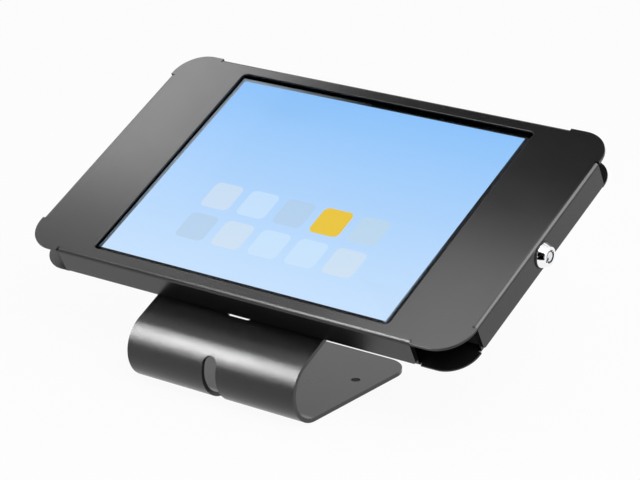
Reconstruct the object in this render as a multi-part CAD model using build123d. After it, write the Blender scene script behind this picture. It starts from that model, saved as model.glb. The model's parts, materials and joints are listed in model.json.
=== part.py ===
from build123d import *
import os
from math import cos, degrees, radians, sin, sqrt

# A lockable desk kiosk: a folded sheet steel stand, a tray that holds a tablet in
# landscape, and a front cover with a screen window, hooked into the tray at the left
# and locked at the right. Lengths are in millimetres and angles in degrees.
# The row's origin is the middle of the underside of the pad that lies on the desk.

os.makedirs("parts", exist_ok=True)

# One overrun for every cut that runs through a wall.
overrun = 2.0

# Tilt of the enclosure and of the stand's upper leg, measured from the desk.
screen_tilt = 26.5

# Front cover.
cover_width = 315.0
cover_depth = 180.4
cover_sheet = 1.5
cover_flange_depth = 17.0
cover_bend_radius = 2.5
cover_corner_radius = 20.3
cover_corner_overhang = 0.4
window_side_margin = 50.0
window_end_margin = 8.4
window_corner_radius = 3.0
window_edge_round = 0.35

# Flanges of the cover and the tray stop short of the corners, with a relief notch at each end.
flange_inset_left = 28.0
flange_inset_right = 31.0
short_flange_inset = 22.1
flange_corner_radius = 2.0
relief_width = 0.8
relief_extra_depth = 0.2

# Hook tabs on the cover's left flange.
tab_width = 20.0
tab_inset = 23.1
tab_reach = 4.3
tab_slot_side_gap = 0.5
tab_slot_drop = 0.5
tab_slot_lift = 3.2
tab_bend_share = 0.8

# Rear tray.
tray_sheet = 1.0
tray_side_gap = 0.5
tray_top_gap = 0.6
enclosure_height = 20.2
tray_corner_radius = 18.0
tray_bend_radius = 2.0
lock_notch_width = 20.0
lock_notch_depth = 14.9

# Tablet.
tablet_left_room = 27.6
tablet_right_room = 30.8
tablet_lower_gap = 0.25
tablet_upper_gap = 0.05
tablet_thickness = 7.5
tablet_corner_radius = 12.0
tablet_back_round = 2.2
tablet_rim = 0.8
glass_thickness = 0.7
panel_side_border = 7.3
panel_end_border = 2.55
panel_thickness = 1.3
panel_corner_radius = 2.0
tablet_fit_gap = 0.1

# Gasket under the edge of the window.
gasket_thickness = 0.6
gasket_width = 3.8
gasket_setback = 0.6
gasket_glass_gap = 0.3

# Foam that seats and centres the tablet.
foam_gap = 0.3
support_pad_width = 30.0
support_pad_end_inset = 17.0
support_pad_side_inset = 37.3
side_pad_height = 14.0
side_pad_end_gap = 3.0
left_pad_tab_gap = 1.0
right_pad_lock_gap = 14.0

# Stand.
base_width = 121.5
base_sheet = 2.5
nose_radius = 20.0
base_reach = 95.5
base_corner_radius = 15.5
upper_leg_end_margin = 13.0
upper_leg_corner_radius = 12.0
screen_centre_along_leg = 107.5
desk_hole_radius = 2.75
desk_hole_inset = 13.55
desk_hole_back = 57.2

# Slot in the nose for the cable.
nose_slot_width = 10.0
nose_slot_top_angle = 32.5
nose_slot_bottom_angle = 90.0

# Cable opening through the upper leg and the tray.
leg_slot_width = 18.0
leg_slot_length = 38.0
leg_slot_corner_radius = 3.0
tray_cable_width = 14.0
tray_cable_length = 24.0
tray_cable_back = 18.4
grommet_wall = 1.5
grommet_upper_lip = 2.0
grommet_lower_lip = 1.5
grommet_lip_thickness = 1.0
grommet_gap = 0.05

# Anti-slip pad under the stand.
pad_thickness = 1.2
pad_inset = 2.5
pad_hole_radius = 6.5

# Screws that hold the tray on the stand.
screw_spacing = 75.0
screw_radius = 2.0
screw_hole_radius = 2.25
screw_head_radius = 4.0
screw_head_height = 2.4
screw_length = 8.0
screw_socket_radius = 1.45
screw_socket_depth = 1.4
screw_head_round_share = 0.65
washer_radius = 5.5
washer_thickness = 1.0
weld_nut_flats = 8.0
weld_nut_height = 3.4
thread_gap = 0.05

# Lock. Its axis runs across the enclosure, square to the right flange.
lock_drop = 9.1
lock_head_radius = 7.5
lock_face_radius = 5.5
lock_head_height = 4.5
lock_edge_round = 0.35
lock_body_radius = 5.0
lock_body_flat = 4.6
lock_body_length = 16.0
lock_ring_radius = 7.9
lock_ring_thickness = 0.5
lock_hole_gap = 0.15
lock_nut_flats = 12.0
lock_nut_thickness = 3.0
plug_radius = 3.8
plug_gap = 0.05
post_radius = 2.75
post_setback = 0.3
key_groove_depth = 5.0
key_notch_radius = 4.7
key_notch_width = 1.6
key_notch_depth = 2.0
post_notch_share = 0.5
pin_count = 7
pin_radius = 0.42
pin_length = 3.0
pin_proud = 0.8
stub_radius = 2.4
stub_flat = 1.8
stub_length = 2.0
cam_thickness = 2.0
cam_hub_radius = 4.6
cam_reach = 9.7
cam_arm_half_width = 3.6
cam_washer_radius = 4.0
cam_washer_thickness = 0.6
cam_screw_radius = 1.5
cam_screw_length = 6.0
cam_screw_head_radius = 2.8
cam_screw_head_height = 1.8
cam_screw_round_share = 0.5
cam_screw_slot_width = 0.8
cam_screw_slot_share = 0.5
cam_gap = 0.1

# Catch that the cam turns under.
catch_sheet = 1.5
catch_width = 12.0
catch_overlap = 4.0
catch_tip_gap = 1.1
catch_cam_gap = 0.3
catch_foot_length = 14.0
catch_bend_radius = 2.2
rivet_radius = 1.6
rivet_head_radius = 2.9
rivet_head_height = 0.8
rivet_round_share = 0.5
rivet_spacing = 7.0

# Levels in the enclosure's frame: across, up the slope, and out of the screen.
# Its origin is the middle of the front cover's outer face.
cover_inside = -cover_sheet
gasket_bottom = cover_inside - gasket_thickness
glass_top = gasket_bottom - gasket_glass_gap
tablet_bottom = glass_top - tablet_thickness
tray_bottom = -enclosure_height
tray_floor = tray_bottom + tray_sheet
tray_top = cover_inside - tray_top_gap
flange_bottom = -cover_flange_depth
tray_width = cover_width - 2 * (cover_sheet + tray_side_gap)
tray_depth = cover_depth - 2 * (cover_sheet + tray_side_gap)
tray_inner_width = tray_width - 2 * tray_sheet
tray_inner_depth = tray_depth - 2 * tray_sheet
side_pad_wall_gap = tray_bend_radius - tray_sheet
short_run = cover_depth - 2 * short_flange_inset
tab_spacing = short_run - 2 * tab_inset
tab_tip = -cover_width / 2 + cover_sheet + tab_reach
window_width = cover_width - 2 * window_side_margin
window_depth = cover_depth - 2 * window_end_margin

# The tablet lies between the tray's walls, with room for foam at the sides.
tablet_left = -tray_inner_width / 2 + tablet_left_room
tablet_right = tray_inner_width / 2 - tablet_right_room
tablet_width = tablet_right - tablet_left
tablet_depth = tray_inner_depth - tablet_lower_gap - tablet_upper_gap
tablet_middle = ((tablet_left + tablet_right) / 2, (tablet_lower_gap - tablet_upper_gap) / 2)
panel_width = tablet_width - 2 * panel_side_border
panel_depth = tablet_depth - 2 * panel_end_border

# Stand profile: the nose's centre in the row's frame.
upper_leg_length = screen_centre_along_leg + screw_spacing / 2 + upper_leg_end_margin
desk_hole_spacing = base_width - 2 * desk_hole_inset
pad_length = base_reach - pad_inset
nose_y = -pad_length / 2
nose_z = pad_thickness + nose_radius
slope = Vector(0, cos(radians(screen_tilt)), sin(radians(screen_tilt)))
outward = Vector(0, -sin(radians(screen_tilt)), cos(radians(screen_tilt)))
nose_centre = Vector(0, nose_y, nose_z)
leg_face_start = nose_centre + outward * nose_radius
leg_middle = leg_face_start + slope * screen_centre_along_leg
enclosure_plane = Plane(
    origin=leg_middle + outward * enclosure_height, x_dir=(1, 0, 0), z_dir=outward
)
enclosure = enclosure_plane.location
lock_frame = enclosure * Pos(cover_width / 2, 0, -lock_drop)


def block(x_span, y_span, z_span):
    # A box between two places on each axis.
    spans = (x_span, y_span, z_span)
    sizes = [high - low for low, high in spans]
    middles = [(low + high) / 2 for low, high in spans]
    return Pos(*middles) * Box(*sizes)


def rounded_slab(width, depth, radius, z_span, middle=(0, 0)):
    # A plate with rounded corners between two heights.
    low, high = z_span
    outline = RectangleRounded(width, depth, radius)
    return Pos(middle[0], middle[1], low) * extrude(outline, amount=high - low)


def upright(radius, z_span, middle=(0, 0)):
    # A round bar along Z.
    low, high = z_span
    return Pos(middle[0], middle[1], (low + high) / 2) * Cylinder(radius, high - low)


def along_x(radius, x_span):
    # A round bar along X, on the X axis.
    low, high = x_span
    return Pos((low + high) / 2, 0, 0) * Rot(0, 90, 0) * Cylinder(radius, high - low)


def hex_prism(flats, z_span, bore, middle=(0, 0)):
    # A nut with two of its flats square to Y.
    low, high = z_span
    corner_radius = flats / sqrt(3)
    outline = RegularPolygon(corner_radius, 6)
    body = Pos(middle[0], middle[1], low) * extrude(outline, amount=high - low)
    return body - upright(bore, (low - overrun, high + overrun), middle)


def flange(length, sheet, bend_radius, drop):
    # A bend and its flange, along X, with the outer faces at Y zero and Z zero.
    inner = bend_radius - sheet
    with BuildPart() as bent:
        with BuildSketch(Plane.YZ):
            with BuildLine():
                JernArc((-bend_radius, 0), (1, 0), bend_radius, -90)
                Line((0, -bend_radius), (0, -drop))
                Line((0, -drop), (-sheet, -drop))
                Line((-sheet, -drop), (-sheet, -bend_radius))
                JernArc((-sheet, -bend_radius), (0, 1), inner, 90)
                Line((-bend_radius, -sheet), (-bend_radius, 0))
            make_face()
        extrude(amount=length / 2, both=True)
        ends = bent.edges().filter_by(Axis.Y).group_by(Axis.Z)[0]
        fillet(ends, flange_corner_radius)
    return bent.part


def flange_places(half_width, half_depth):
    # For each side: its turn, its middle along the side, its run and its distance out.
    long_run = cover_width - flange_inset_left - flange_inset_right
    long_middle = (flange_inset_left - flange_inset_right) / 2
    return [
        (0, long_middle, long_run, half_depth),
        (180, -long_middle, long_run, half_depth),
        (90, 0, short_run, half_width),
        (-90, 0, short_run, half_width),
    ]


def fold_sides(plate, half_width, half_depth, overhang, sheet, bend_radius, drop):
    # Gives each side of a flat plate, whose face is at Z zero, a flange that hangs from it.
    # The plate gives way to each bend, with a relief notch at both ends.
    through = (-sheet - overrun, overrun)
    edge = overhang + overrun
    notch = bend_radius + relief_extra_depth
    places = flange_places(half_width, half_depth)
    for turn, middle, run, face in places:
        side = Rot(0, 0, turn) * Pos(middle, 0, 0)
        plate -= side * block((-run / 2, run / 2), (face - bend_radius, face + edge), through)
        for end in (-run / 2 - relief_width, run / 2):
            plate -= side * block((end, end + relief_width), (face - notch, face + edge), through)
    for turn, middle, run, face in places:
        plate += Rot(0, 0, turn) * Pos(middle, face, 0) * flange(run, sheet, bend_radius, drop)
    return plate


def make_front_cover():
    # The flat blank, with rounded corners that stand a little past the flanges.
    half_width, half_depth = cover_width / 2, cover_depth / 2
    blank = rounded_slab(
        cover_width + 2 * cover_corner_overhang,
        cover_depth + 2 * cover_corner_overhang,
        cover_corner_radius,
        (cover_inside, 0),
    )
    through = (cover_inside - overrun, overrun)
    blank -= rounded_slab(window_width, window_depth, window_corner_radius, through)
    blank = fillet(blank.edges().group_by(Axis.Z)[-1], window_edge_round)
    cover = fold_sides(
        blank,
        half_width,
        half_depth,
        cover_corner_overhang,
        cover_sheet,
        cover_bend_radius,
        cover_flange_depth,
    )

    # Hook tabs turned inward from the left flange's lower edge.
    for side in (-1, 1):
        middle = side * tab_spacing / 2
        tab = block(
            (-half_width, tab_tip),
            (middle - tab_width / 2, middle + tab_width / 2),
            (flange_bottom, flange_bottom + cover_sheet),
        )
        outer_bend = tab.edges().filter_by(Axis.Y).group_by(Axis.X)[0].sort_by(Axis.Z)[:1]
        tab = fillet(outer_bend, cover_sheet * tab_bend_share)
        cover -= block(
            (-half_width - overrun, -half_width + cover_sheet),
            (middle - tab_width / 2, middle + tab_width / 2),
            (flange_bottom - overrun, flange_bottom + cover_sheet),
        )
        cover += tab

    # Hole with two flats for the lock, in the right flange.
    hole_radius = lock_body_radius + lock_hole_gap
    hole_flat = lock_body_flat + lock_hole_gap
    hole = along_x(hole_radius, (-cover_sheet - overrun, overrun))
    hole &= block(
        (-cover_sheet - overrun, overrun), (-hole_radius, hole_radius), (-hole_flat, hole_flat)
    )
    cover -= Pos(half_width, 0, -lock_drop) * hole
    return cover


def make_cover_gasket():
    inner_width = window_width + 2 * gasket_setback
    inner_depth = window_depth + 2 * gasket_setback
    inner_radius = window_corner_radius + gasket_setback
    strip = (gasket_bottom, cover_inside)
    outer = rounded_slab(
        inner_width + 2 * gasket_width,
        inner_depth + 2 * gasket_width,
        inner_radius + gasket_width,
        strip,
    )
    through = (gasket_bottom - overrun, cover_inside + overrun)
    return outer - rounded_slab(inner_width, inner_depth, inner_radius, through)


def cable_middle():
    # The tray's cable opening, measured up from the tray's lower wall.
    return (0, -tray_depth / 2 + tray_cable_back)


def screw_places():
    half = screw_spacing / 2
    return [(x, y) for x in (-half, half) for y in (-half, half)]


def catch_wall():
    # The catch's upright starts this far up the slope from the lock's axis.
    return cam_reach + catch_tip_gap


def rivet_places():
    # Both rivets lie on the foot, beyond its bend, across the catch.
    foot_start = catch_wall() + catch_bend_radius
    foot_end = catch_wall() + catch_foot_length
    across = cam_place()
    return [(across + side * rivet_spacing / 2, (foot_start + foot_end) / 2) for side in (-1, 1)]


def cam_place():
    # Middle of the cam's thickness, in the enclosure's frame.
    return cover_width / 2 - lock_body_length - cam_gap - cam_thickness / 2


def make_rear_tray():
    # A plate with rounded corners, folded the other way up. Its corners are open like the cover's.
    plate = rounded_slab(tray_width, tray_depth, tray_corner_radius, (-tray_sheet, 0))
    height = tray_top - tray_bottom
    tray = fold_sides(
        plate, tray_width / 2, tray_depth / 2, 0, tray_sheet, tray_bend_radius, height
    )
    tray = Pos(0, 0, tray_bottom) * Rot(180, 0, 0) * tray

    # Notch in the right wall, open at the top, for the lock and its nut.
    tray -= block(
        (tray_width / 2 - tray_sheet - overrun, tray_width / 2 + overrun),
        (-lock_notch_width / 2, lock_notch_width / 2),
        (tray_top - lock_notch_depth, tray_top + overrun),
    )

    # Slots in the left wall for the cover's tabs.
    slot_half = tab_width / 2 + tab_slot_side_gap
    for side in (-1, 1):
        middle = side * tab_spacing / 2
        tray -= block(
            (-tray_width / 2 - overrun, -tray_width / 2 + tray_sheet + overrun),
            (middle - slot_half, middle + slot_half),
            (flange_bottom - tab_slot_drop, flange_bottom + tab_slot_lift),
        )

    # Holes in the floor.
    through = (tray_bottom - overrun, tray_floor + overrun)
    for place in screw_places():
        tray -= upright(screw_hole_radius, through, place)
    for place in rivet_places():
        tray -= upright(rivet_radius + thread_gap, through, place)
    opening_radius = tray_cable_width / 2 - grommet_gap
    tray -= rounded_slab(
        tray_cable_width, tray_cable_length, opening_radius, through, cable_middle()
    )
    return tray


def make_cable_grommet():
    # A rubber edging with a lip above and below the tray's floor.
    middle = cable_middle()

    def ring(grow, z_span):
        radius = tray_cable_width / 2 - grommet_gap + grow
        return rounded_slab(
            tray_cable_width + 2 * grow, tray_cable_length + 2 * grow, radius, z_span, middle
        )

    low = tray_bottom - grommet_lip_thickness
    high = tray_floor + grommet_lip_thickness
    grommet = ring(-grommet_gap, (tray_bottom, tray_floor))
    grommet += ring(grommet_upper_lip, (tray_floor, high))
    grommet += ring(grommet_lower_lip, (low, tray_bottom))
    return grommet - ring(-grommet_wall, (low - overrun, high + overrun))


def bracket_profile():
    # The folded strip seen from the side: foot, round nose and sloping upper leg.
    lower = pad_thickness
    inner_radius = nose_radius - base_sheet
    rear = nose_y + base_reach
    outer_end = leg_face_start + slope * upper_leg_length
    inner_end = outer_end - outward * base_sheet
    inner_start = nose_centre + outward * inner_radius
    turn = 180 - screen_tilt
    with BuildSketch(Plane.YZ) as profile:
        with BuildLine():
            Line((rear, lower), (nose_y, lower))
            JernArc((nose_y, lower), (-1, 0), nose_radius, -turn)
            Line((leg_face_start.Y, leg_face_start.Z), (outer_end.Y, outer_end.Z))
            Line((outer_end.Y, outer_end.Z), (inner_end.Y, inner_end.Z))
            Line((inner_end.Y, inner_end.Z), (inner_start.Y, inner_start.Z))
            JernArc((inner_start.Y, inner_start.Z), (-slope.Y, -slope.Z), inner_radius, turn)
            Line((nose_y, lower + base_sheet), (rear, lower + base_sheet))
            Line((rear, lower + base_sheet), (rear, lower))
        make_face()
    return profile.sketch


def nose_slot():
    # A wedge between the slot's two end angles, with a round end at each.
    half = nose_slot_width / 2
    end_turn = degrees(half / nose_radius)
    first = 180 - nose_slot_top_angle + end_turn
    last = 180 + nose_slot_bottom_angle
    reach = nose_radius + overrun

    def point(angle):
        return (nose_y + reach * cos(radians(angle)), nose_z + reach * sin(radians(angle)))

    with BuildSketch(Plane.YZ) as wedge:
        with BuildLine():
            Line((nose_y, nose_z), point(first))
            ThreePointArc(point(first), point((first + last) / 2), point(last))
            Line(point(last), (nose_y, nose_z))
        make_face()
    slot = extrude(wedge.sketch, amount=half, both=True)
    for angle in (first, last):
        axis = Location((0, nose_y, nose_z), (angle, 0, 0))
        slot += axis * Pos(0, reach / 2, 0) * Rot(90, 0, 0) * Cylinder(half, reach)
    return slot


def make_base_bracket():
    bracket = extrude(bracket_profile(), amount=base_width / 2, both=True)
    foot_corners = bracket.edges().filter_by(Axis.Z).sort_by(Axis.Y)[-2:]
    bracket = fillet(foot_corners, base_corner_radius)
    leg_axis = Axis((0, 0, 0), tuple(outward))
    leg_corners = bracket.edges().filter_by(leg_axis).sort_by(Axis.Z)[-2:]
    bracket = fillet(leg_corners, upper_leg_corner_radius)
    bracket -= nose_slot()

    # Cable slot in the upper leg, in line with the tray's cable opening.
    through = (tray_bottom - base_sheet - overrun, tray_bottom + overrun)
    slot = rounded_slab(
        leg_slot_width, leg_slot_length, leg_slot_corner_radius, through, cable_middle()
    )
    bracket -= enclosure * slot
    for place in screw_places():
        bracket -= enclosure * upright(screw_hole_radius, through, place)

    # Two holes in the foot, to bolt the stand to a desk.
    for side in (-1, 1):
        middle = (side * desk_hole_spacing / 2, nose_y + desk_hole_back)
        span = (pad_thickness - overrun, pad_thickness + base_sheet + overrun)
        bracket -= upright(desk_hole_radius, span, middle)
    return bracket


def make_base_pad():
    # A rubber sheet under the foot, cut away round the desk holes.
    width = base_width - 2 * pad_inset
    front, rear = nose_y, nose_y + pad_length
    pad = block((-width / 2, width / 2), (front, rear), (0, pad_thickness))
    corners = pad.edges().filter_by(Axis.Z).sort_by(Axis.Y)[-2:]
    pad = fillet(corners, base_corner_radius - pad_inset)
    for side in (-1, 1):
        middle = (side * desk_hole_spacing / 2, nose_y + desk_hole_back)
        pad -= upright(pad_hole_radius, (-overrun, pad_thickness + overrun), middle)
    slot_end = nose_slot_width / 2
    pad -= upright(slot_end, (-overrun, pad_thickness + overrun), (0, nose_y))
    return pad


def make_base_screws():
    # Button head screws, put in from inside the locked tray.
    seat = tray_floor + washer_thickness
    top = seat + screw_head_height
    screws = []
    for place in screw_places():
        head = upright(screw_head_radius, (seat, top), place)
        head = fillet(head.edges().group_by(Axis.Z)[-1], screw_head_height * screw_head_round_share)
        shank = upright(screw_radius, (seat - screw_length, seat), place)
        socket = RegularPolygon(screw_socket_radius, 6)
        socket = extrude(socket, amount=screw_socket_depth + overrun)
        screws.append(head + shank - Pos(*place, top - screw_socket_depth) * socket)
    return Compound(screws)


def make_base_washers():
    low, high = tray_floor, tray_floor + washer_thickness
    washers = []
    for place in screw_places():
        washer = upright(washer_radius, (low, high), place)
        washers.append(washer - upright(screw_hole_radius, (low - overrun, high + overrun), place))
    return Compound(washers)


def make_base_weld_nuts():
    high = tray_bottom - base_sheet
    low = high - weld_nut_height
    bore = screw_radius + thread_gap
    return Compound([hex_prism(weld_nut_flats, (low, high), bore, place) for place in screw_places()])


def make_lock_catch():
    # Foot, upright and top tab folded from one strip. The cam turns under the tab.
    wall = catch_wall()
    tab_low = -lock_drop + cam_arm_half_width + catch_cam_gap
    tab_high = tab_low + catch_sheet
    tab_tip = cam_reach - catch_overlap
    foot_end = wall + catch_foot_length
    outer, inner = catch_bend_radius, catch_bend_radius - catch_sheet
    with BuildSketch(Plane.YZ) as profile:
        with BuildLine():
            Line((tab_tip, tab_low), (wall - inner, tab_low))
            JernArc((wall - inner, tab_low), (1, 0), inner, -90)
            Line((wall, tab_low - inner), (wall, tray_floor + outer))
            JernArc((wall, tray_floor + outer), (0, -1), outer, 90)
            Line((wall + outer, tray_floor), (foot_end, tray_floor))
            Line((foot_end, tray_floor), (foot_end, tray_floor + catch_sheet))
            Line((foot_end, tray_floor + catch_sheet), (wall + outer, tray_floor + catch_sheet))
            JernArc((wall + outer, tray_floor + catch_sheet), (-1, 0), inner, -90)
            Line((wall + catch_sheet, tray_floor + outer), (wall + catch_sheet, tab_high - outer))
            JernArc((wall + catch_sheet, tab_high - outer), (0, 1), outer, 90)
            Line((wall + catch_sheet - outer, tab_high), (tab_tip, tab_high))
            Line((tab_tip, tab_high), (tab_tip, tab_low))
        make_face()
    catch = Pos(cam_place(), 0, 0) * extrude(profile.sketch, amount=catch_width / 2, both=True)
    for place in rivet_places():
        catch -= upright(
            rivet_radius + thread_gap,
            (tray_floor - overrun, tray_floor + catch_sheet + overrun),
            place,
        )
    return catch


def make_catch_rivets():
    rivets = []
    rounding = rivet_head_height * rivet_round_share
    top = tray_floor + catch_sheet
    for place in rivet_places():
        rivet = upright(rivet_radius, (tray_bottom, top), place)
        head = upright(rivet_head_radius, (top, top + rivet_head_height), place)
        rivet += fillet(head.edges().group_by(Axis.Z)[-1], rounding)
        foot = upright(rivet_head_radius, (tray_bottom - rivet_head_height, tray_bottom), place)
        rivet += fillet(foot.edges().group_by(Axis.Z)[0], rounding)
        rivets.append(rivet)
    return Compound(rivets)


def make_support_pads():
    # Two foam strips between the tray's floor and the tablet's back.
    half_length = tablet_depth / 2 - support_pad_end_inset
    pads = []
    for middle in (tablet_left + support_pad_side_inset, tablet_right - support_pad_side_inset):
        across = (middle - support_pad_width / 2, middle + support_pad_width / 2)
        pads.append(block(across, (-half_length, half_length), (tray_floor, tablet_bottom)))
    return Compound(pads)


def side_pad_end():
    # Half the length that side pads may take up, within the short flanges.
    return short_run / 2 - side_pad_end_gap


def make_left_side_pad():
    # A foam block that keeps clear of the cover's tabs.
    return block(
        (tab_tip + left_pad_tab_gap, tablet_left - foam_gap),
        (-side_pad_end(), side_pad_end()),
        (tray_floor, tray_floor + side_pad_height),
    )


def make_right_side_pads():
    # The lower block starts below the lock, the upper one past the catch's foot.
    across = (tablet_right + foam_gap, tray_inner_width / 2 - side_pad_wall_gap)
    height = (tray_floor, tray_floor + side_pad_height)
    upper_start = catch_wall() + catch_foot_length + foam_gap
    lower = block(across, (-side_pad_end(), -right_pad_lock_gap), height)
    upper = block(across, (upper_start, side_pad_end()), height)
    return Compound([lower, upper])


def make_tablet_shell():
    shell = rounded_slab(
        tablet_width, tablet_depth, tablet_corner_radius, (tablet_bottom, glass_top), tablet_middle
    )
    shell = fillet(shell.edges().group_by(Axis.Z)[0], tablet_back_round)
    glass_seat = glass_top - glass_thickness
    shell -= rounded_slab(
        tablet_width - 2 * tablet_rim,
        tablet_depth - 2 * tablet_rim,
        tablet_corner_radius - tablet_rim,
        (glass_seat, glass_top + overrun),
        tablet_middle,
    )
    shell -= rounded_slab(
        panel_width + 2 * tablet_fit_gap,
        panel_depth + 2 * tablet_fit_gap,
        panel_corner_radius + tablet_fit_gap,
        (glass_seat - panel_thickness, glass_top + overrun),
        tablet_middle,
    )
    return shell


def make_tablet_display():
    top = glass_top - glass_thickness
    return rounded_slab(
        panel_width, panel_depth, panel_corner_radius, (top - panel_thickness, top), tablet_middle
    )


def make_tablet_glass():
    inset = tablet_rim + tablet_fit_gap
    return rounded_slab(
        tablet_width - 2 * inset,
        tablet_depth - 2 * inset,
        tablet_corner_radius - inset,
        (glass_top - glass_thickness, glass_top),
        tablet_middle,
    )


def make_lock_housing():
    # Turned head and a body with two flats, bored through for the plug.
    seat = lock_ring_thickness
    face = seat + lock_head_height
    back = -lock_body_length
    bore = plug_radius + plug_gap
    with BuildSketch(Plane.XY) as half_section:
        with BuildLine():
            Line((seat, 0), (seat, lock_head_radius))
            Line((seat, lock_head_radius), (face, lock_face_radius))
            Line((face, lock_face_radius), (face, 0))
            Line((face, 0), (seat, 0))
        make_face()
    head = revolve(half_section.sketch, Axis.X, 360)
    rims = head.edges().filter_by(GeomType.CIRCLE).group_by(Axis.X)
    head = fillet(rims[0] + rims[-1], lock_edge_round)
    body = along_x(lock_body_radius, (back, seat))
    body &= block(
        (back - overrun, seat + overrun),
        (-lock_body_radius, lock_body_radius),
        (-lock_body_flat, lock_body_flat),
    )
    housing = head + body - along_x(bore, (back - overrun, face + overrun))

    # The key's guide notch points down the slope.
    housing -= block(
        (face - key_notch_depth, face + overrun),
        (-key_notch_radius, 0),
        (-key_notch_width / 2, key_notch_width / 2),
    )
    return housing


def make_lock_ring():
    span = (0, lock_ring_thickness)
    hole = lock_body_radius + lock_hole_gap
    return along_x(lock_ring_radius, span) - along_x(hole, (-overrun, lock_ring_thickness + overrun))


def make_lock_nut():
    inner_face = -cover_sheet
    nut = hex_prism(lock_nut_flats, (0, lock_nut_thickness), lock_body_radius + thread_gap)
    return Pos(inner_face - lock_nut_thickness, 0, 0) * Plane.YZ.location * nut


def plug_face():
    # Floor of the ring groove that the tubular key goes into.
    return lock_ring_thickness + lock_head_height - key_groove_depth


def make_lock_plug():
    back = -lock_body_length
    face = plug_face()
    post_end = lock_ring_thickness + lock_head_height - post_setback
    plug = along_x(plug_radius, (back, face)) + along_x(post_radius, (face, post_end))

    # A flatted stub carries the cam, and a screw goes into its end.
    stub_end = back - cam_gap - stub_length
    stub = along_x(stub_radius, (stub_end, back))
    stub &= block((stub_end, back), (-stub_flat, stub_flat), (-stub_radius, stub_radius))
    plug += stub
    plug -= along_x(cam_screw_radius + thread_gap, (stub_end - overrun, stub_end + cam_screw_length))
    plug -= block(
        (post_end - key_notch_depth, post_end + overrun),
        (-post_radius - overrun, -post_radius * post_notch_share),
        (-key_notch_width / 2, key_notch_width / 2),
    )

    # Drilled seats for the pins, in a ring on the groove's floor.
    for place in pin_places():
        seat = along_x(pin_radius + plug_gap, (face - pin_length + pin_proud, face + overrun))
        plug -= Pos(0, *place) * seat
    return plug


def pin_places():
    ring = (plug_radius + post_radius) / 2
    step = 360 / (pin_count + 1)
    angles = [180 + step * (index + 1) for index in range(pin_count)]
    return [(ring * cos(radians(angle)), ring * sin(radians(angle))) for angle in angles]


def make_lock_pins():
    face = plug_face()
    back = face - pin_length + pin_proud
    pin = along_x(pin_radius, (back, face + pin_proud))
    return Compound([Pos(0, *place) * pin for place in pin_places()])


def cam_span():
    front = -lock_body_length - cam_gap
    return (front - cam_thickness, front)


def make_lock_cam():
    # A hub with one arm, which points down into the tray when the lock is open.
    span = cam_span()
    tip_middle = cam_reach - cam_arm_half_width
    cam = along_x(cam_hub_radius, span)
    cam += block(span, (-cam_arm_half_width, cam_arm_half_width), (-tip_middle, 0))
    cam += Pos(0, 0, -tip_middle) * along_x(cam_arm_half_width, span)
    through = (span[0] - overrun, span[1] + overrun)
    hole = along_x(stub_radius + thread_gap, through)
    flat = stub_flat + thread_gap
    hole &= block(through, (-flat, flat), (-stub_radius - overrun, stub_radius + overrun))
    return cam - hole


def make_cam_washer():
    high = cam_span()[0]
    low = high - cam_washer_thickness
    hole = cam_screw_radius + thread_gap
    return along_x(cam_washer_radius, (low, high)) - along_x(hole, (low - overrun, high + overrun))


def make_cam_screw():
    seat = cam_span()[0] - cam_washer_thickness
    head = along_x(cam_screw_head_radius, (seat - cam_screw_head_height, seat))
    head = fillet(head.edges().group_by(Axis.X)[0], cam_screw_head_height * cam_screw_round_share)
    shank_end = seat + cam_screw_length - thread_gap
    slot_floor = seat - cam_screw_head_height * cam_screw_slot_share
    slot = block(
        (seat - cam_screw_head_height - overrun, slot_floor),
        (-cam_screw_slot_width / 2, cam_screw_slot_width / 2),
        (-cam_screw_head_radius - overrun, cam_screw_head_radius + overrun),
    )
    return head + along_x(cam_screw_radius, (seat, shank_end)) - slot


def save(node, shape):
    export_step(shape, f"parts/{node}.step")


# Pieces made in the row's frame.
save("base_bracket", make_base_bracket())
save("base_pad", make_base_pad())

# Pieces made flat in the enclosure's frame, then tilted into place.
enclosure_pieces = {
    "rear_tray": make_rear_tray,
    "cable_grommet": make_cable_grommet,
    "base_screws": make_base_screws,
    "base_washers": make_base_washers,
    "base_weld_nuts": make_base_weld_nuts,
    "lock_catch": make_lock_catch,
    "catch_rivets": make_catch_rivets,
    "support_pads": make_support_pads,
    "left_side_pad": make_left_side_pad,
    "right_side_pads": make_right_side_pads,
    "tablet_shell": make_tablet_shell,
    "tablet_display": make_tablet_display,
    "tablet_glass": make_tablet_glass,
    "front_cover": make_front_cover,
    "cover_gasket": make_cover_gasket,
}
for node, make in enclosure_pieces.items():
    save(node, enclosure * make())

# Pieces of the lock, made on its own axis.
lock_pieces = {
    "lock_housing": make_lock_housing,
    "lock_ring": make_lock_ring,
    "lock_nut": make_lock_nut,
    "lock_plug": make_lock_plug,
    "lock_pins": make_lock_pins,
    "lock_cam": make_lock_cam,
    "cam_washer": make_cam_washer,
    "cam_screw": make_cam_screw,
}
for node, make in lock_pieces.items():
    save(node, lock_frame * make())
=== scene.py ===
import bmesh
import bpy
import json
from math import cos, exp, radians, sin
from mathutils import Matrix, Vector


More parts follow.
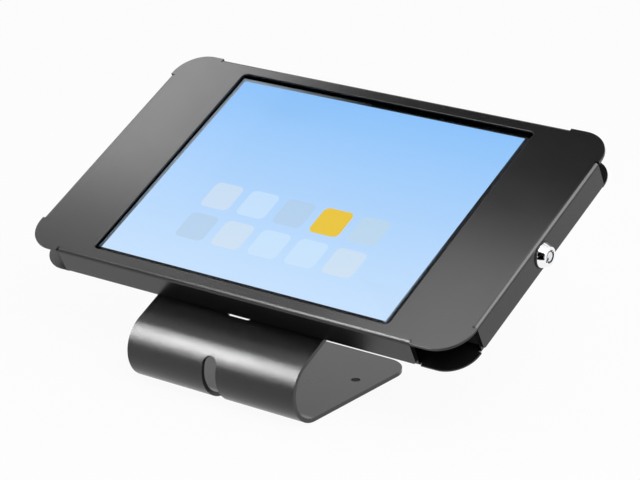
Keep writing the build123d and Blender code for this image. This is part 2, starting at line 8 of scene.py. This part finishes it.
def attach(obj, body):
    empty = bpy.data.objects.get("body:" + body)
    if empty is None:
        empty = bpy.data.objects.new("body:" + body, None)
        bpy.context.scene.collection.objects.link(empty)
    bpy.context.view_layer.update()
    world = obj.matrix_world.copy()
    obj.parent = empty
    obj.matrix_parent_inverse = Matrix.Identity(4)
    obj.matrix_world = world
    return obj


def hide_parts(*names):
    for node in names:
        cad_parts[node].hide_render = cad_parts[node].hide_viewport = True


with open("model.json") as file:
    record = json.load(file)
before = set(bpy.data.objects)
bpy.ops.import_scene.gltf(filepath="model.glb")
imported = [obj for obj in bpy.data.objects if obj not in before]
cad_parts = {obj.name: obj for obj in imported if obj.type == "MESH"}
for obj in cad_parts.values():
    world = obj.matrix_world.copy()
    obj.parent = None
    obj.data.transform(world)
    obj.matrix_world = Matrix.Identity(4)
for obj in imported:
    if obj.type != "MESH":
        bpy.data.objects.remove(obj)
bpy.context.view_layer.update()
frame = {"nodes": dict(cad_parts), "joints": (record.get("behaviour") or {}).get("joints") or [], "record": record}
print("frame loaded:", len(frame["nodes"]), "nodes")

mm = 0.001
scene = bpy.context.scene
scene.view_settings.view_transform = "Standard"


# helpers shared by every piece

def hexColour(code):
    # sRGB hex to the linear colour that sockets take
    parts = [int(code[i:i + 2], 16) / 255 for i in (1, 3, 5)]
    linear = [c / 12.92 if c <= 0.04045 else ((c + 0.055) / 1.055) ** 2.4 for c in parts]
    return (*linear, 1.0)


def addNode(tree, kind, settings=None, links=None):
    # a node with its attributes, its fixed socket values and what feeds it
    node = tree.nodes.new(kind)
    for key, value in (settings or {}).items():
        if isinstance(key, str) and key in node.bl_rna.properties:
            setattr(node, key, value)
        else:
            node.inputs[key].default_value = value
    for key, source in (links or {}).items():
        tree.links.new(source, node.inputs[key])
    return node


def newMaterial(name):
    material = bpy.data.materials.new(name)
    material.use_nodes = True
    tree = material.node_tree
    tree.nodes.clear()
    output = addNode(tree, "ShaderNodeOutputMaterial")
    shader = addNode(tree, "ShaderNodeBsdfPrincipled")
    tree.links.new(shader.outputs["BSDF"], output.inputs["Surface"])
    coords = addNode(tree, "ShaderNodeTexCoord").outputs["Object"]
    return material, tree, shader, coords


def perMetre(sizeInMm):
    # texture scale at which one feature is about this wide
    return 1 / (sizeInMm * mm)


# where the enclosure lies: its hinge runs up the slope along the left flange

enclosureSizes = {"hingeToMiddle": 156.0, "hingeToFace": 17.0}
hinge = next(j for j in frame["joints"] if j["name"] == "cover_hinge")
slope = -Vector(hinge["axis"]).normalized()
across = Vector((1, 0, 0))
outward = across.cross(slope)
faceMiddle = (Vector(hinge["pos_m"]) + across * enclosureSizes["hingeToMiddle"] * mm
              + outward * enclosureSizes["hingeToFace"] * mm)
enclosure = Matrix((across, slope, outward)).transposed().to_4x4()
enclosure.translation = faceMiddle
tilt = slope.angle(Vector((0, 1, 0)))


# camera, fitted to the photograph's edges. Its target is measured from the nose's centre line

cameraValues = {
    "azimuth": 37.127, "elevation": 19.604, "roll": -0.506,
    "right": 51.3, "up": 90.2, "distance": 1496.2, "lens": 145.92,
    "footBelow": 1.2, "noseBehind": -46.5,
}


def addCamera():
    v = cameraValues
    az, el, roll = (radians(v[k]) for k in ("azimuth", "elevation", "roll"))
    back = Vector((sin(az) * cos(el), -cos(az) * cos(el), sin(el)))
    level = Vector((cos(az), sin(az), 0))
    above = back.cross(level)
    right = level * cos(roll) + above * sin(roll)
    up = above * cos(roll) - level * sin(roll)
    turned = Matrix((right, up, back)).transposed().to_4x4()
    start = Vector((0, v["noseBehind"], v["footBelow"]))
    place = start + right * v["right"] + up * v["up"] + back * v["distance"]
    data = bpy.data.cameras.new("camera")
    data.lens = v["lens"]
    data.clip_start, data.clip_end = 0.05, 20
    camera = bpy.data.objects.new("camera", data)
    camera.matrix_world = Matrix.Translation(place * mm) @ turned
    scene.collection.objects.link(camera)
    scene.camera = camera


addCamera()


# floor and light

studioValues = {
    "floorWidth": 6.0, "floorColour": "#e9e9ea", "floorWhite": 0.94,
    "worldStrength": 0.6, "worldColour": "#f4f5f7",
}


def whiteWhereSeen(tree, normal, share):
    # camera, mirror and glass rays meet this share of plain white; the object's light is unchanged
    path = addNode(tree, "ShaderNodeLightPath")
    seen = path.outputs["Is Camera Ray"]
    for ray in ("Is Glossy Ray", "Is Transmission Ray"):
        seen = addNode(tree, "ShaderNodeMath", {"operation": "MAXIMUM"},
                       {0: seen, 1: path.outputs[ray]}).outputs[0]
    factor = addNode(tree, "ShaderNodeMath", {"operation": "MULTIPLY", 1: share}, {0: seen})
    kind = "ShaderNodeBackground" if normal.node.type == "BACKGROUND" else "ShaderNodeEmission"
    white = addNode(tree, kind, {"Color": (1, 1, 1, 1), "Strength": 1.0})
    return addNode(tree, "ShaderNodeMixShader", None,
                   {0: factor.outputs[0], 1: normal, 2: white.outputs[0]}).outputs[0]


def addWorld():
    world = bpy.data.worlds.new("studio")
    world.use_nodes = True
    tree = world.node_tree
    tree.nodes.clear()
    soft = addNode(tree, "ShaderNodeBackground", {
        "Color": hexColour(studioValues["worldColour"]),
        "Strength": studioValues["worldStrength"]})
    output = addNode(tree, "ShaderNodeOutputWorld")
    tree.links.new(whiteWhereSeen(tree, soft.outputs[0], 1.0), output.inputs["Surface"])
    scene.world = world


def stagePlane(name, corners, material, faces=((0, 1, 2, 3),)):
    mesh = bpy.data.meshes.new(name)
    mesh.from_pydata(corners, [], faces)
    mesh.materials.append(material)
    plane = bpy.data.objects.new(name, mesh)
    scene.collection.objects.link(plane)
    return plane


def addFloor():
    half = studioValues["floorWidth"] / 2
    material, tree, shader, coords = newMaterial("studioPaper")
    shader.inputs["Base Color"].default_value = hexColour(studioValues["floorColour"])
    shader.inputs["Roughness"].default_value = 0.9
    shader.inputs["Specular IOR Level"].default_value = 0.0
    output = next(n for n in tree.nodes if n.type == "OUTPUT_MATERIAL")
    mixed = whiteWhereSeen(tree, shader.outputs["BSDF"], studioValues["floorWhite"])
    tree.links.new(mixed, output.inputs["Surface"])
    corners = [(x * half, y * half, 0) for x, y in ((-1, -1), (1, -1), (1, 1), (-1, 1))]
    stagePlane("floor", corners, material)


def addPanel(name, place, aim, size, power):
    # a white soft box: place and aim in metres, size across and along
    data = bpy.data.lights.new(name, "AREA")
    data.shape = "RECTANGLE"
    data.size, data.size_y = size
    data.energy = power
    lamp = bpy.data.objects.new(name, data)
    lamp.location = place
    lamp.rotation_mode = "QUATERNION"
    lamp.rotation_quaternion = (Vector(aim) - Vector(place)).to_track_quat("-Z", "Y")
    lamp.visible_camera = False
    scene.collection.objects.link(lamp)


def overCover(x, y, height):
    # a place above the cover's face, in mm across it, up its slope and off it
    return enclosure @ Vector((x * mm, y * mm, height * mm))


lampValues = {
    "keyPanel": {
        "place": (0.75, -0.5, 0.95), "aim": (0, 0, 0.08), "size": (0.6, 0.6), "power": 6.5,
    },
    "rightPanel": {
        "place": (1.3, 0.3, 0.5), "aim": (0, 0, 0.08), "size": (0.5, 0.9), "power": 3.0,
    },
}

# bright cards that only glints meet, as photographers hang them. On the cover's face the first
# lights the left margin and the second the lower right corner: mm across, up and off that face
coverCards = {
    "upperCard": {"x": (-600, -328), "y": (176, 480), "height": 250, "glow": 4.7},
    "lowerCard": {"x": (-126, 150), "y": (-80, 203), "height": 250, "glow": 3.2},
}
# a curved card for the long glint on the nose, turned about the nose's middle line, and dimmer
# towards its ends. Metres and degrees
noseCard = {
    "axis": (-0.0465, 0.0212), "radius": 0.45, "from": 2, "to": 80, "steps": 46,
    "middle": 50, "spread": 18.5, "glow": 50.0,
    "along": ((-0.46, 0.0), (-0.41, 0.75), (-0.36, 1.0), (-0.3, 1.0), (-0.24, 0.6), (-0.16, 0.3),
              (-0.08, 0.0)),
}
# the same for the thin glint on the cover's bottom bend, dimmer, and brightest at the right. The
# two lie in one place, as the even and odd slats of a blind
lowCard = {
    **noseCard, "glow": 33.0,
    "along": ((-0.56, 0.14), (-0.36, 0.14), (-0.29, 0.28), (-0.255, 0.58), (-0.22, 0.8),
              (-0.185, 1.0), (-0.02, 1.0)),
}
# which piece each of the two shows on
shownOn = {"noseCard": "base_bracket_skin", "lowCard": "front_cover_skin"}
# a card for the thin glint on the cover's right bend, in mm and degrees about that bend
bendCard = {"x": 157, "radius": 380, "from": 15, "to": 80, "steps": 7, "y": (60, 400), "glow": 7.0}


def cardMaterial():
    # white cloth lit from behind, as bright as its glow attribute, seen once and not twice
    material, tree, shader, coords = newMaterial("litCloth")
    glow = addNode(tree, "ShaderNodeAttribute", {"attribute_name": "glow"})
    depth = addNode(tree, "ShaderNodeLightPath").outputs["Ray Depth"]
    once = addNode(tree, "ShaderNodeMath", {"operation": "LESS_THAN", 1: 1.5}, {0: depth})
    strength = addNode(tree, "ShaderNodeMath", {"operation": "MULTIPLY"},
                       {0: glow.outputs["Fac"], 1: once.outputs[0]})
    shader.inputs["Base Color"].default_value = (0, 0, 0, 1)
    shader.inputs["Specular IOR Level"].default_value = 0.0
    shader.inputs["Emission Color"].default_value = (1, 1, 1, 1)
    tree.links.new(strength.outputs[0], shader.inputs["Emission Strength"])
    material.cycles.emission_sampling = "NONE"
    return material


def glintsOnly(plane):
    # mirror rays meet it, and no others
    for ray in ("camera", "diffuse", "transmission", "shadow", "volume_scatter"):
        setattr(plane, "visible_" + ray, False)


def addCard(name, rows, glows, material, first=0, every=1):
    # rows of places, with a brightness for each; first and every choose its slats
    wide = len(rows[0])
    faces = [(i * wide + j, i * wide + j + 1, (i + 1) * wide + j + 1, (i + 1) * wide + j)
             for i in range(first, len(rows) - 1, every) for j in range(wide - 1)]
    card = stagePlane(name, [place for row in rows for place in row], material, faces)
    glow = card.data.attributes.new("glow", "FLOAT", "POINT")
    glow.data.foreach_set("value", [value for row in glows for value in row])
    glintsOnly(card)


def stepsOf(v):
    return [v["from"] + (v["to"] - v["from"]) * i / (v["steps"] - 1) for i in range(v["steps"])]


def addCards():
    material = cardMaterial()
    for name, v in coverCards.items():
        rows = [[overCover(x, y, v["height"]) for x in v["x"]] for y in v["y"]]
        addCard(name, rows, [[v["glow"]] * 2] * 2, material)
    for first, (name, v) in enumerate((("noseCard", noseCard), ("lowCard", lowCard))):
        rows, glows = [], []
        for turn in stepsOf(v):
            y = v["axis"][0] - v["radius"] * cos(radians(turn))
            z = v["axis"][1] + v["radius"] * sin(radians(turn))
            bright = v["glow"] * exp(-((turn - v["middle"]) / v["spread"]) ** 2 / 2)
            rows.append([(x, y, z) for x, share in v["along"]])
            glows.append([bright * share for x, share in v["along"]])
        addCard(name, rows, glows, material, first, 2)
    v = bendCard
    rows = [[overCover(v["x"] + v["radius"] * sin(radians(turn)), y,
                       v["radius"] * cos(radians(turn))) for y in v["y"]] for turn in stepsOf(v)]
    addCard("bendCard", rows, [[v["glow"]] * 2] * v["steps"], material)


# a dark flag in the same way, which darkens the upper right of the cover's face
upperFlag = {"x": (-325, 170), "y": (180, 560), "height": 252, "colour": "#3a3a3b"}
# and a black one for the patch that the lock's chrome mirrors: a strip of a tube in front of the
# lock, in metres and degrees about a line across through its middle
lockFlag = {
    "middle": (0.031, 0.1), "x": (0.178, 0.228), "radius": 0.15, "from": -30, "to": 43, "steps": 12,
    "colour": "#020202",
}


def velvet(name, colour):
    # cotton velvet, woven: no shine at all
    material, tree, shader, coords = newMaterial(name)
    shader.inputs["Base Color"].default_value = hexColour(colour)
    shader.inputs["Roughness"].default_value = 1.0
    shader.inputs["Specular IOR Level"].default_value = 0.0
    return material


def addFlags():
    v = upperFlag
    corners = [overCover(v["x"][i], v["y"][j], v["height"])
               for i, j in ((0, 0), (1, 0), (1, 1), (0, 1))]
    glintsOnly(stagePlane("upperFlag", corners, velvet("greyVelvet", v["colour"])))
    v = lockFlag
    corners = [(x, v["middle"][0] - v["radius"] * cos(radians(turn)),
                v["middle"][1] + v["radius"] * sin(radians(turn)))
               for turn in stepsOf(v) for x in v["x"]]
    faces = [(i, i + 1, i + 3, i + 2) for i in range(0, 2 * v["steps"] - 2, 2)]
    glintsOnly(stagePlane("lockFlag", corners, velvet("blackVelvet", v["colour"]), faces))


addWorld()
addFloor()
addFlags()
addCards()
for lampName, values in lampValues.items():
    addPanel(lampName, **values)
print("camera, floor and lamps placed")


# materials

steelPaint = {
    "colour": "#131314", "ior": 1.5, "roughness": 0.26,
    "grain": 0.55, "grainDepth": 0.004, "grainStrength": 0.12, "mottle": 18.0, "mottleShare": 0.03,
}


def powderCoat():
    # black satin powder coat on sheet steel: baked, slightly orange-peeled, soft wide glints
    v = steelPaint
    material, tree, shader, coords = newMaterial("powderCoatedSteel")
    shader.inputs["Base Color"].default_value = hexColour(v["colour"])
    shader.inputs["IOR"].default_value = v["ior"]
    mottle = addNode(tree, "ShaderNodeTexNoise", {"Scale": perMetre(v["mottle"]), "Detail": 3.0},
                     {"Vector": coords})
    rough = addNode(tree, "ShaderNodeMapRange", {
        "To Min": v["roughness"] - v["mottleShare"], "To Max": v["roughness"] + v["mottleShare"]},
        {"Value": mottle.outputs["Fac"]})
    tree.links.new(rough.outputs[0], shader.inputs["Roughness"])
    grain = addNode(tree, "ShaderNodeTexNoise", {"Scale": perMetre(v["grain"]), "Detail": 2.0},
                    {"Vector": coords})
    bump = addNode(tree, "ShaderNodeBump", {
        "Strength": v["grainStrength"], "Distance": v["grainDepth"] * mm},
        {"Height": grain.outputs["Fac"]})
    tree.links.new(bump.outputs[0], shader.inputs["Normal"])
    return material


def plainFinish(name, colour, roughness, grain, depth, metallic=0.0, ior=None, strength=0.3):
    # one colour with a fine grain, its width and depth in mm
    material, tree, shader, coords = newMaterial(name)
    shader.inputs["Base Color"].default_value = hexColour(colour)
    shader.inputs["Roughness"].default_value = roughness
    shader.inputs["Metallic"].default_value = metallic
    if ior:
        shader.inputs["IOR"].default_value = ior
    noise = addNode(tree, "ShaderNodeTexNoise", {"Scale": perMetre(grain), "Detail": 3.0},
                    {"Vector": coords})
    bump = addNode(tree, "ShaderNodeBump", {"Strength": strength, "Distance": depth * mm},
                   {"Height": noise.outputs["Fac"]})
    tree.links.new(bump.outputs[0], shader.inputs["Normal"])
    return material


finishes = {
    "powder_coated_steel": powderCoat(),
    # EPDM rubber, moulded: dull and nearly black
    "black_rubber": plainFinish("epdmRubber", "#161616", 0.75, 0.4, 0.03, ior=1.52),
    # closed-cell EVA foam, cut: dull with small cells
    "black_foam": plainFinish("evaFoam", "#1c1c1d", 0.9, 0.7, 0.12, ior=1.45, strength=0.6),
    # black zinc on steel: dark, soft metal glint
    "black_zinc": plainFinish("blackZinc", "#2a2a2b", 0.35, 0.3, 0.01, metallic=0.8),
    # bright zinc on steel: pale grey with a bluish cast
    "zinc_plate": plainFinish("brightZinc", "#c4c6ca", 0.28, 0.5, 0.01, metallic=1.0),
    # bead-blasted anodised aluminium: pale, fine and even
    "tablet_aluminium": plainFinish(
        "anodisedAluminium", "#a6a8ac", 0.35, 0.15, 0.006, metallic=1.0),
    # bright chrome on turned brass: mirror-like
    "lock_chrome": plainFinish("chromedBrass", "#f5f5f6", 0.09, 0.8, 0.002, metallic=1.0),
    # nickelled steel, turned: pale with a softer shine than the chrome round it
    "lock_steel": plainFinish("turnedSteel", "#e4e5e7", 0.22, 0.3, 0.006, metallic=1.0),
    # glass-filled nylon, moulded: black and satin
    "black_plastic": plainFinish("mouldedNylon", "#121213", 0.55, 0.3, 0.01, ior=1.52),
}
print("finishes made:", len(finishes))


# pieces that keep their shape from the frame, with rounded edges and smooth bends. Widths in mm

edgeValues = {
    "front_cover": 0.35, "rear_tray": 0.2, "base_bracket": 0.3, "lock_housing": 0.12,
    "base_pad": 0.25, "lock_nut": 0.15, "lock_catch": 0.15, "lock_plug": 0.08, "lock_ring": 0.1,
    "lock_cam": 0.15, "base_screws": 0.08, "base_washers": 0.12, "base_weld_nuts": 0.15,
    "tablet_shell": 0.2, "cable_grommet": 0.25, "catch_rivets": 0.1, "cover_gasket": 0.12,
}
sharpFrom = radians(28)
flatWithin = radians(0.5)
edgeSegments = 3
mergeWithin = 0.001 * mm


def smoothCopy(nodeName, slotName):
    # a merged copy of the node: flat faces joined, bends smooth, edges rounded
    source = frame["nodes"][nodeName]
    bm = bmesh.new()
    bm.from_mesh(source.data)
    bmesh.ops.remove_doubles(bm, verts=bm.verts, dist=mergeWithin)
    bmesh.ops.dissolve_limit(bm, angle_limit=flatWithin, verts=bm.verts, edges=bm.edges)
    for face in bm.faces:
        face.smooth = True
    for edge in bm.edges:
        edge.smooth = edge.calc_face_angle(0) < sharpFrom
    mesh = bpy.data.meshes.new(nodeName + "Skin")
    bm.to_mesh(mesh)
    bm.free()
    mesh.materials.append(finishes[slotName])
    piece = bpy.data.objects.new(nodeName + "_skin", mesh)
    scene.collection.objects.link(piece)
    width = edgeValues.get(nodeName)
    if width:
        bevel = piece.modifiers.new("edges", "BEVEL")
        bevel.width = width * mm
        bevel.segments = edgeSegments
        bevel.limit_method = "ANGLE"
        bevel.angle_limit = sharpFrom
        bevel.miter_outer = "MITER_ARC"
        bevel.use_clamp_overlap = True
        normals = piece.modifiers.new("flats", "WEIGHTED_NORMAL")
        normals.keep_sharp = True
    return piece


slotOf = {s["node"]: s["material_slot"] for s in frame["record"]["subparts"]}
bodyOf = {node: body for body, nodes in frame["record"]["behaviour"]["bodies"].items()
          for node in nodes}
for nodeName, slotName in slotOf.items():
    if slotName in finishes and nodeName in edgeValues:
        skin = smoothCopy(nodeName, slotName)
        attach(skin, bodyOf[nodeName])
        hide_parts(nodeName)
    elif slotName in finishes and not nodeName.endswith(("side_pad", "side_pads", "support_pads")):
        frame["nodes"][nodeName].data.materials.clear()
        frame["nodes"][nodeName].data.materials.append(finishes[slotName])
for card, piece in shownOn.items():
    onlyOn = bpy.data.collections.new(card + "On")
    onlyOn.objects.link(bpy.data.objects[piece])
    bpy.data.objects[card].light_linking.receiver_collection = onlyOn
print("rigid pieces dressed")


# foam pads: cut blocks whose edges are soft and whose sides draw in a little between corners

foamValues = {"edge": 1.2, "drawIn": 0.35, "cuts": 7, "segments": 4, "sharpFrom": 60}
foamPads = ("support_pads", "left_side_pad", "right_side_pads")


def loosePieces(mesh):
    # the mesh's separate solids, each as a list of places
    bm = bmesh.new()
    bm.from_mesh(mesh)
    bmesh.ops.remove_doubles(bm, verts=bm.verts, dist=mergeWithin)
    left, found = set(bm.verts), []
    while left:
        group, edge = set(), [left.pop()]
        while edge:
            vert = edge.pop()
            group.add(vert)
            near = {e.other_vert(vert) for e in vert.link_edges} & left
            left -= near
            edge.extend(near)
        found.append([v.co.copy() for v in group])
    bm.free()
    return found


def foamPad(nodeName):
    # one block for each solid of the node, measured square to the enclosure
    v = foamValues
    flat = enclosure.inverted()
    mesh = bpy.data.meshes.new(nodeName + "Foam")
    whole = bmesh.new()
    for places in loosePieces(frame["nodes"][nodeName].data):
        inside = [flat @ place for place in places]
        low = Vector([min(p[i] for p in inside) for i in range(3)])
        high = Vector([max(p[i] for p in inside) for i in range(3)])
        middle, half = (low + high) / 2, (high - low) / 2
        block = bmesh.new()
        bmesh.ops.create_cube(block, size=2.0)
        bmesh.ops.subdivide_edges(block, edges=block.edges[:], cuts=v["cuts"], use_grid_fill=True)
        for vert in block.verts:
            x, y, z = vert.co
            drawX = 1 - v["drawIn"] * mm / half.x * (1 - y * y)
            drawY = 1 - v["drawIn"] * mm / half.y * (1 - x * x)
            vert.co = enclosure @ (middle + Vector((x * half.x * drawX, y * half.y * drawY,
                                                    z * half.z)))
        block.to_mesh(mesh)
        block.free()
        whole.from_mesh(mesh)
    for face in whole.faces:
        face.smooth = True
    whole.to_mesh(mesh)
    whole.free()
    mesh.materials.append(finishes["black_foam"])
    pad = bpy.data.objects.new(nodeName + "_foam", mesh)
    scene.collection.objects.link(pad)
    bevel = pad.modifiers.new("softEdges", "BEVEL")
    bevel.width = v["edge"] * mm
    bevel.segments = v["segments"]
    bevel.limit_method = "ANGLE"
    bevel.angle_limit = radians(v["sharpFrom"])
    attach(pad, bodyOf[nodeName])
    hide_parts(nodeName)


for nodeName in foamPads:
    foamPad(nodeName)
print("foam pads made")


# the tablet's screen

screenValues = {
    "middle": (-1.6, 0.3), "lit": (207.4, 155.5),
    "topColour": "#91c6fb", "bottomColour": "#cce5fe", "glow": 1.0,
    "bezelColour": "#050506", "bezelShine": 0.15, "roughness": 0.1,
    # the pale line beside the picture is painted reflection: its width and the end of its fade across in mm, its
    # colour, and its share at the picture's bottom
    "reflectionWidth": 2.2, "reflectionColour": "#8f989f", "reflectionEnd": -5.0, "reflectionFoot": 0.45,
}
# a made-up menu: rows of rounded tiles, one of them yellow. Sizes in mm from the screen's middle
menuValues = {
    "corner": (-67.5, -58.5), "pitch": 27.0, "columns": 5, "rows": 2,
    "half": 10.5, "round": 4.0, "blur": 0.12, "shares": 0.55,
    "yellowTile": (3, 1, 0), "yellow": "#efc945",
    "tints": ("#dfe9ee", "#b9cfe2", "#d6ecfd", "#c7dce4"),
}


def vectorMath(tree, operation, first, second=None, output=0):
    # first is a link; second a link, a number or a vector
    node = addNode(tree, "ShaderNodeVectorMath", {"operation": operation}, {0: first})
    if isinstance(second, bpy.types.NodeSocket):
        tree.links.new(second, node.inputs[1])
    elif second is not None:
        node.inputs[1].default_value = second if isinstance(second, tuple) else (second,) * 3
    return node.outputs[output]


def below(tree, value, limit, soft=0.0):
    # 1 where value is under limit, with an edge this soft
    return addNode(tree, "ShaderNodeMapRange", {
        "From Min": limit + soft, "From Max": limit - soft - 1e-6}, {"Value": value}).outputs[0]


def inBox(tree, flat, middle, size):
    # 1 inside a rectangle of the screen
    share = vectorMath(tree, "ABSOLUTE", vectorMath(
        tree, "DIVIDE", vectorMath(tree, "SUBTRACT", flat, (*middle, 0.0)), (*size, 1.0)))
    parts = addNode(tree, "ShaderNodeSeparateXYZ", None, {"Vector": share})
    larger = addNode(tree, "ShaderNodeMath", {"operation": "MAXIMUM"},
                     {0: parts.outputs["X"], 1: parts.outputs["Y"]})
    return below(tree, larger.outputs[0], 0.5)


def multiply(tree, first, second):
    node = addNode(tree, "ShaderNodeMath", {"operation": "MULTIPLY"}, {0: first})
    if isinstance(second, bpy.types.NodeSocket):
        tree.links.new(second, node.inputs[1])
    else:
        node.inputs[1].default_value = second
    return node.outputs[0]


def mixColours(tree, share, first, second):
    node = addNode(tree, "ShaderNodeMix", {"data_type": "RGBA"}, {"Factor": share})
    for slot, source in ((6, first), (7, second)):
        if isinstance(source, bpy.types.NodeSocket):
            tree.links.new(source, node.inputs[slot])
        else:
            node.inputs[slot].default_value = hexColour(source)
    return node.outputs[2]


def menuTiles(tree, flat, ground):
    # the tiles laid over the ground colour; flat is the place on the screen in mm
    v = menuValues
    cells = vectorMath(tree, "DIVIDE", vectorMath(tree, "SUBTRACT", flat, (*v["corner"], 0.0)),
                       v["pitch"])
    cell = vectorMath(tree, "FLOOR", cells)
    inCell = vectorMath(tree, "SUBTRACT", vectorMath(tree, "FRACTION", cells), 0.5)
    offset = vectorMath(tree, "ABSOLUTE",
                        vectorMath(tree, "MULTIPLY", inCell, (v["pitch"], v["pitch"], 0.0)))
    core = v["half"] - v["round"]
    past = vectorMath(tree, "MAXIMUM", vectorMath(tree, "SUBTRACT", offset, (core, core, 0.0)), 0.0)
    tile = below(tree, vectorMath(tree, "LENGTH", past, None, "Value"), v["round"],
                 v["blur"])
    last = (v["columns"] - 1.0, v["rows"] - 1.0, 0.0)
    clamped = vectorMath(tree, "MAXIMUM", vectorMath(tree, "MINIMUM", cell, last), 0.0)
    laid = below(tree, vectorMath(tree, "DISTANCE", cell, clamped, "Value"), 0.5)
    shown = multiply(tree, tile, laid)
    seed = addNode(tree, "ShaderNodeTexWhiteNoise", {"noise_dimensions": "3D"}, {"Vector": cell})
    tints = addNode(tree, "ShaderNodeValToRGB", None, {"Fac": seed.outputs["Value"]})
    ramp = tints.color_ramp
    ramp.interpolation = "CONSTANT"
    for i, tint in enumerate(v["tints"]):
        stop = ramp.elements[i] if i < 2 else ramp.elements.new(i / len(v["tints"]))
        stop.position = i / len(v["tints"])
        stop.color = hexColour(tint)
    pale = mixColours(tree, multiply(tree, shown, v["shares"]), ground, tints.outputs["Color"])
    chosen = vectorMath(tree, "DISTANCE", cell, tuple(float(n) for n in v["yellowTile"]), "Value")
    return mixColours(tree, multiply(tree, shown, below(tree, chosen, 0.5)), pale, v["yellow"])


def screenMaterial():
    # lit display: an even glow, with the gradient running down the picture; its border shines, and beside the
    # picture it carries a painted reflection
    v = screenValues
    material, tree, shader, coords = newMaterial("litDisplay")
    placed = addNode(tree, "ShaderNodeMapping", {
        "vector_type": "TEXTURE", "Location": overCover(*v["middle"], 0),
        "Rotation": (tilt, 0, 0), "Scale": (mm, mm, mm)}, {"Vector": coords})
    flat = vectorMath(tree, "MULTIPLY", placed.outputs[0], (1.0, 1.0, 0.0))
    parts = addNode(tree, "ShaderNodeSeparateXYZ", None, {"Vector": flat})
    halfHeight = v["lit"][1] / 2
    fade = addNode(tree, "ShaderNodeMapRange", {"From Min": -halfHeight, "From Max": halfHeight},
                   {"Value": parts.outputs["Y"]})
    ground = mixColours(tree, fade.outputs[0], v["bottomColour"], v["topColour"])
    picture = menuTiles(tree, flat, ground)
    inside = inBox(tree, flat, (0.0, 0.0), v["lit"])
    border = addNode(tree, "ShaderNodeMath", {"operation": "SUBTRACT", 0: 1.0}, {1: inside})
    # beside the picture's left and top edges lies a pale line that fades from their corner: painted reflection of
    # the bright room, put into the border's colour
    half = v["reflectionWidth"] / 2
    reflectionBand = inBox(tree, flat, (-half, half), tuple(length + v["reflectionWidth"] for length in v["lit"]))
    across = addNode(tree, "ShaderNodeMapRange", {
        "From Min": v["reflectionEnd"], "From Max": -v["lit"][0] / 2}, {"Value": parts.outputs["X"]})
    down = addNode(tree, "ShaderNodeMapRange", {
        "From Min": -halfHeight, "From Max": 0.0, "To Min": v["reflectionFoot"]},
        {"Value": parts.outputs["Y"]})
    paintedReflection = multiply(tree, multiply(tree, reflectionBand, border.outputs[0]),
                    multiply(tree, across.outputs[0], down.outputs[0]))
    tree.links.new(mixColours(tree, paintedReflection, v["bezelColour"], v["reflectionColour"]),
                   shader.inputs["Base Color"])
    shader.inputs["Roughness"].default_value = v["roughness"]
    tree.links.new(picture, shader.inputs["Emission Color"])
    tree.links.new(multiply(tree, inside, v["glow"]), shader.inputs["Emission Strength"])
    tree.links.new(multiply(tree, border.outputs[0], v["bezelShine"]),
                   shader.inputs["Specular IOR Level"])
    return material


glassValues = {"colour": "#fafcff", "roughness": 0.05, "ior": 1.05}


def glassMaterial():
    # aluminosilicate cover glass with a coating against reflections, so its index is set low
    material, tree, shader, coords = newMaterial("coatedGlass")
    shader.inputs["Base Color"].default_value = hexColour(glassValues["colour"])
    shader.inputs["Roughness"].default_value = glassValues["roughness"]
    shader.inputs["IOR"].default_value = glassValues["ior"]
    shader.inputs["Transmission Weight"].default_value = 1.0
    return material


for nodeName, finish in (("tablet_display", screenMaterial()), ("tablet_glass", glassMaterial())):
    frame["nodes"][nodeName].data.materials.clear()
    frame["nodes"][nodeName].data.materials.append(finish)
print("screen made")
